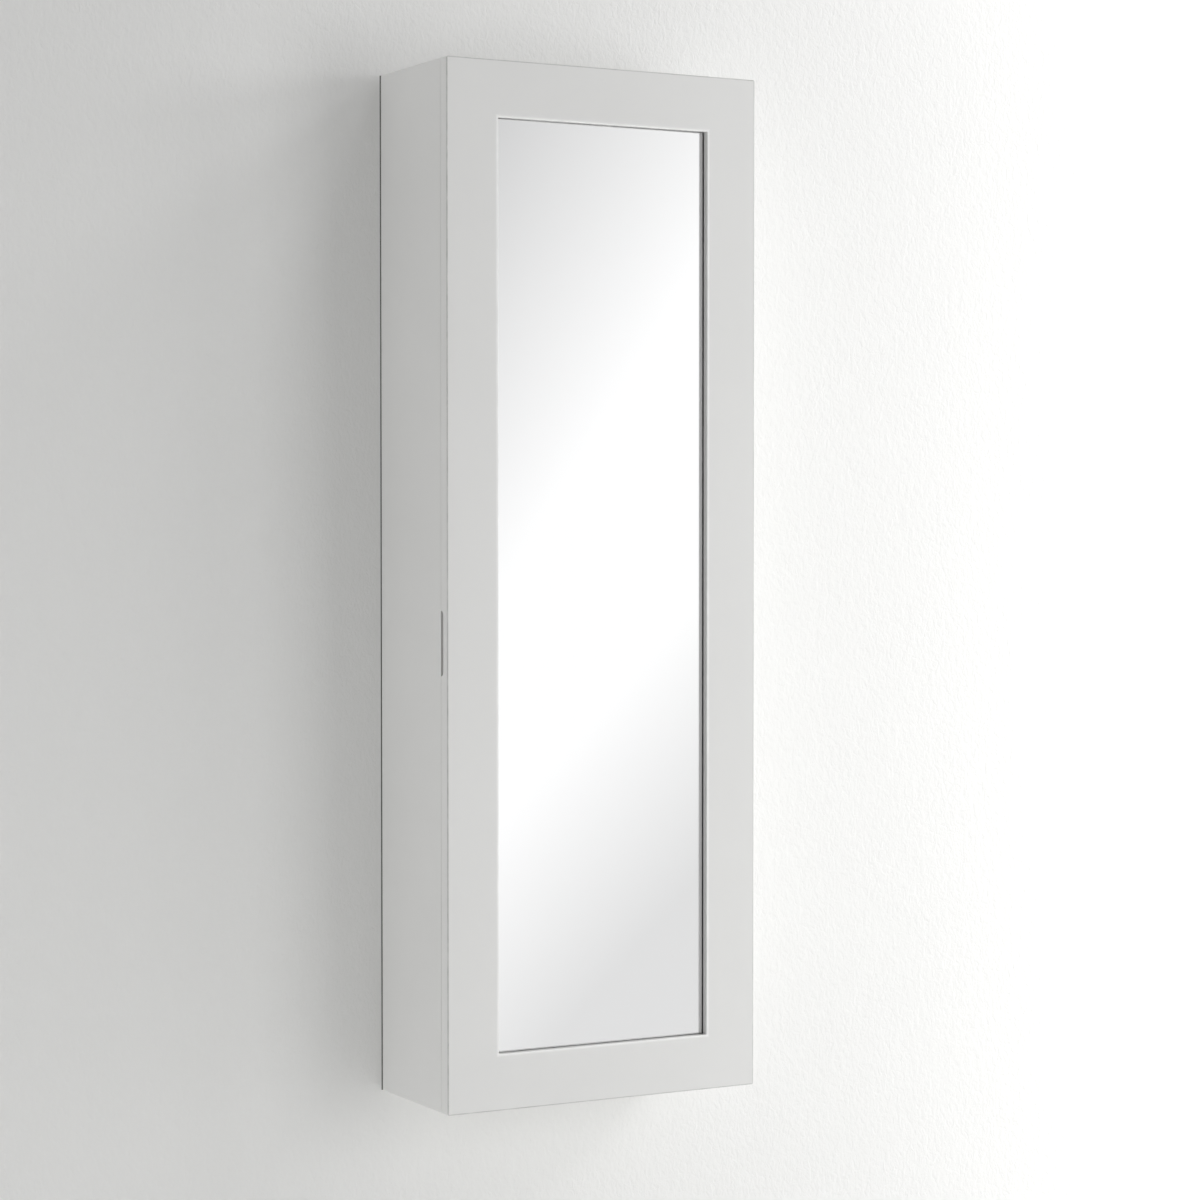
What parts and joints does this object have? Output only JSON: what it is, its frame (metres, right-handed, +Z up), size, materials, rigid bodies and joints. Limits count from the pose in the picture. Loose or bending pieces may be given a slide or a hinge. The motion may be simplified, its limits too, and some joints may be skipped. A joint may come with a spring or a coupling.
{
  "type": "jewelry mirror cabinet",
  "caption": "Tall shallow wall cabinet with one hinged mirror door, a side finger pull, and shelves, pegs, bars and a ring tray inside.",
  "frame": {"origin": "middle of the four wall-screw holes, in the plane of the cabinet's back edges", "axes": "+Z up, +Y into the wall, so the door faces -Y; +X to the viewer's right, where the hinges are"},
  "size_m": [0.4056, 0.174, 1.18],
  "materials": {
    "white_lacquer": "satin white lacquer on fibreboard",
    "rail_wood": "planed softwood",
    "dowel_beech": "turned beech",
    "back_board": "white-coated hardboard",
    "velvet_lining": "flocked grey velvet on card",
    "velvet_rolls": "grey velvet over foam",
    "flocked_board": "flocked grey velvet on hardboard",
    "mirror": "silvered float glass",
    "foam_pad": "thin packing foam",
    "hinge_steel": "nickel-plated steel",
    "screw_steel": "zinc-plated steel",
    "catch_plastic": "moulded white plastic",
    "catch_steel": "zinc-plated steel",
    "fitting_chrome": "polished chrome plate",
    "bar_plastic": "moulded white plastic"
  },
  "bodies": {
    "case": {"back_panel": "back_board", "bracelet_rod": "fitting_chrome", "case_bottom": "white_lacquer", "case_dowels": "dowel_beech", "case_left_side": "white_lacquer", "case_lining": "velvet_lining", "case_right_side": "white_lacquer", "case_top": "white_lacquer", "catch_lower_housing": "catch_plastic", "catch_lower_magnet": "catch_steel", "catch_screws": "screw_steel", "catch_upper_housing": "catch_plastic", "catch_upper_magnet": "catch_steel", "guard_rod_1": "fitting_chrome", "guard_rod_2": "fitting_chrome", "hinge_case_screws": "screw_steel", "hinge_lower_case_leaf": "hinge_steel", "hinge_lower_pin": "hinge_steel", "hinge_middle_case_leaf": "hinge_steel", "hinge_middle_pin": "hinge_steel", "hinge_upper_case_leaf": "hinge_steel", "hinge_upper_pin": "hinge_steel", "necklace_pegs": "fitting_chrome", "peg_rail": "white_lacquer", "peg_rail_screws": "screw_steel", "ring_rolls": "velvet_rolls", "ring_tray": "white_lacquer", "rod_cup_left": "fitting_chrome", "rod_cup_right": "fitting_chrome", "rod_cup_screws": "screw_steel", "shelf_1": "white_lacquer", "shelf_2": "white_lacquer", "shelf_3": "white_lacquer", "shelf_pins": "fitting_chrome", "wall_rail_lower": "rail_wood", "wall_rail_upper": "rail_wood"},
    "door": {"backing_screws": "screw_steel", "door_dowels": "dowel_beech", "door_rail_bottom": "white_lacquer", "door_rail_top": "white_lacquer", "door_stile_left": "white_lacquer", "door_stile_right": "white_lacquer", "earring_bar_1": "bar_plastic", "earring_bar_2": "bar_plastic", "earring_bar_3": "bar_plastic", "earring_bar_4": "bar_plastic", "earring_bar_screws": "screw_steel", "hinge_door_screws": "screw_steel", "hinge_lower_door_leaf": "hinge_steel", "hinge_middle_door_leaf": "hinge_steel", "hinge_upper_door_leaf": "hinge_steel", "mirror_backing": "flocked_board", "mirror_glass": "mirror", "mirror_pad": "foam_pad", "strike_plate_lower": "catch_steel", "strike_plate_upper": "catch_steel", "strike_screws": "screw_steel"}
  },
  "joints": [
    {"name": "door_swing", "type": "hinge", "parent": "case", "child": "door", "pos_m": [0.203, -0.15775, 0], "axis": [0, 0, 1], "range_deg": [0, 180]}
  ]
}
